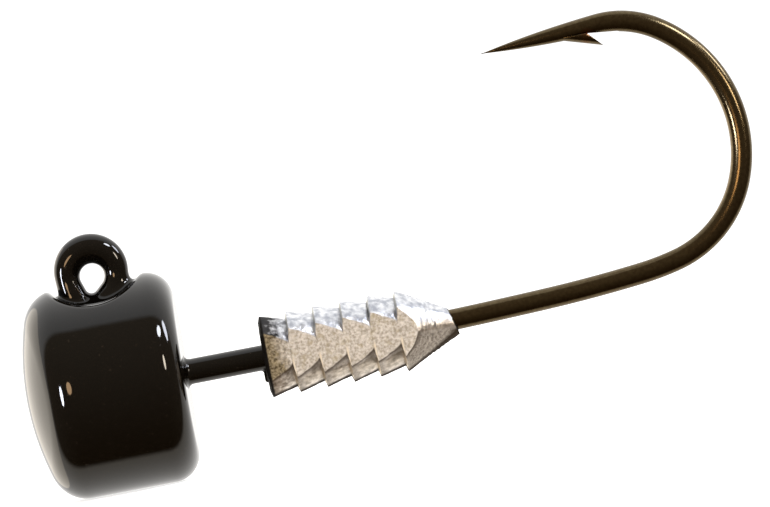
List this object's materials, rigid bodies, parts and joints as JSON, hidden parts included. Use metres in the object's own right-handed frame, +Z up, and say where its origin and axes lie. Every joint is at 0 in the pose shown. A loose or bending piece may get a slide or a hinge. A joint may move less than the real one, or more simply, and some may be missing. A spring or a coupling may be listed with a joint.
{
  "type": "fishing jig head",
  "caption": "Ball jig head with a scooped saddle, upright line eye, barbed lead bait keeper and one wide-gap jig hook.",
  "frame": {"origin": "centre of the head's flat rear face, on the axis of the hook shank", "axes": "+X along the shank towards the bend of the hook, +Z up to the line eye and the hook point, +Y across the hook"},
  "size_m": [0.0363, 0.01, 0.0181],
  "materials": {
    "hook": "smoky black-nickel plated high-carbon steel wire, mirror smooth with a bronze cast",
    "head_weight": null,
    "bait_keeper": null,
    "paint_coat": "thick wet-look gloss black powder coating"
  },
  "bodies": {
    "root": {"hook": "hook", "head_weight": "head_weight", "bait_keeper": "bait_keeper", "paint_coat": "paint_coat"}
  },
  "joints": []
}
